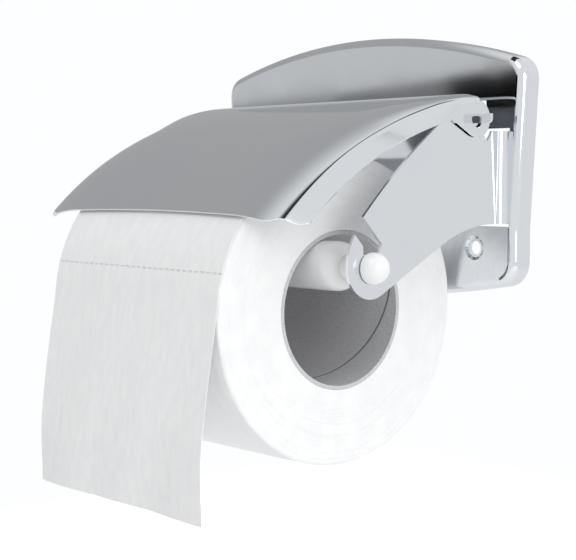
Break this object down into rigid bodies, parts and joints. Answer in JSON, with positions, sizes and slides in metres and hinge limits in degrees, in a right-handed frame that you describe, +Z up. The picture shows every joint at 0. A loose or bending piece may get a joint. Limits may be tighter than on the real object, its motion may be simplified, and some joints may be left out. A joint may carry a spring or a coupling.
{
  "type": "toilet paper holder",
  "caption": "Wall-mounted bathroom paper holder: a pressed steel plate with two bent arms, a curved hinged lid, a white drop-in spindle and a roll of paper with its loose end hanging.",
  "frame": {"origin": "on the wall plane, midway between the two screw holes; the rim of the plate lies on this plane", "axes": "+Y into the wall, -Y out towards the user, +Z up, +X to the right of a person facing the holder"},
  "size_m": [0.1568, 0.1178, 0.1565],
  "materials": {
    "polished_steel": "polished",
    "white_plastic": "gloss",
    "cardboard": "matte grey board",
    "tissue": "soft creped paper"
  },
  "bodies": {
    "bracket": {"wall_bracket": "polished_steel", "paper_tail": "tissue"},
    "lid": {"lid": "polished_steel"},
    "spindle": {"spindle": "white_plastic"},
    "roll": {"cardboard_core": "cardboard", "paper_roll": "tissue"}
  },
  "joints": [
    {"name": "lid_hinge", "type": "hinge", "parent": "bracket", "child": "lid", "pos_m": [0, -0.0218, 0.0434], "axis": [-1, 0, 0], "range_deg": [0, 112]},
    {"name": "spindle_spin", "type": "hinge", "parent": "bracket", "child": "spindle", "pos_m": [0, -0.0681, -0.004], "axis": [1, 0, 0], "continuous": true},
    {"name": "roll_spin", "type": "hinge", "parent": "bracket", "child": "roll", "pos_m": [0.002, -0.061, -0.01889], "axis": [1, 0, 0], "continuous": true}
  ]
}
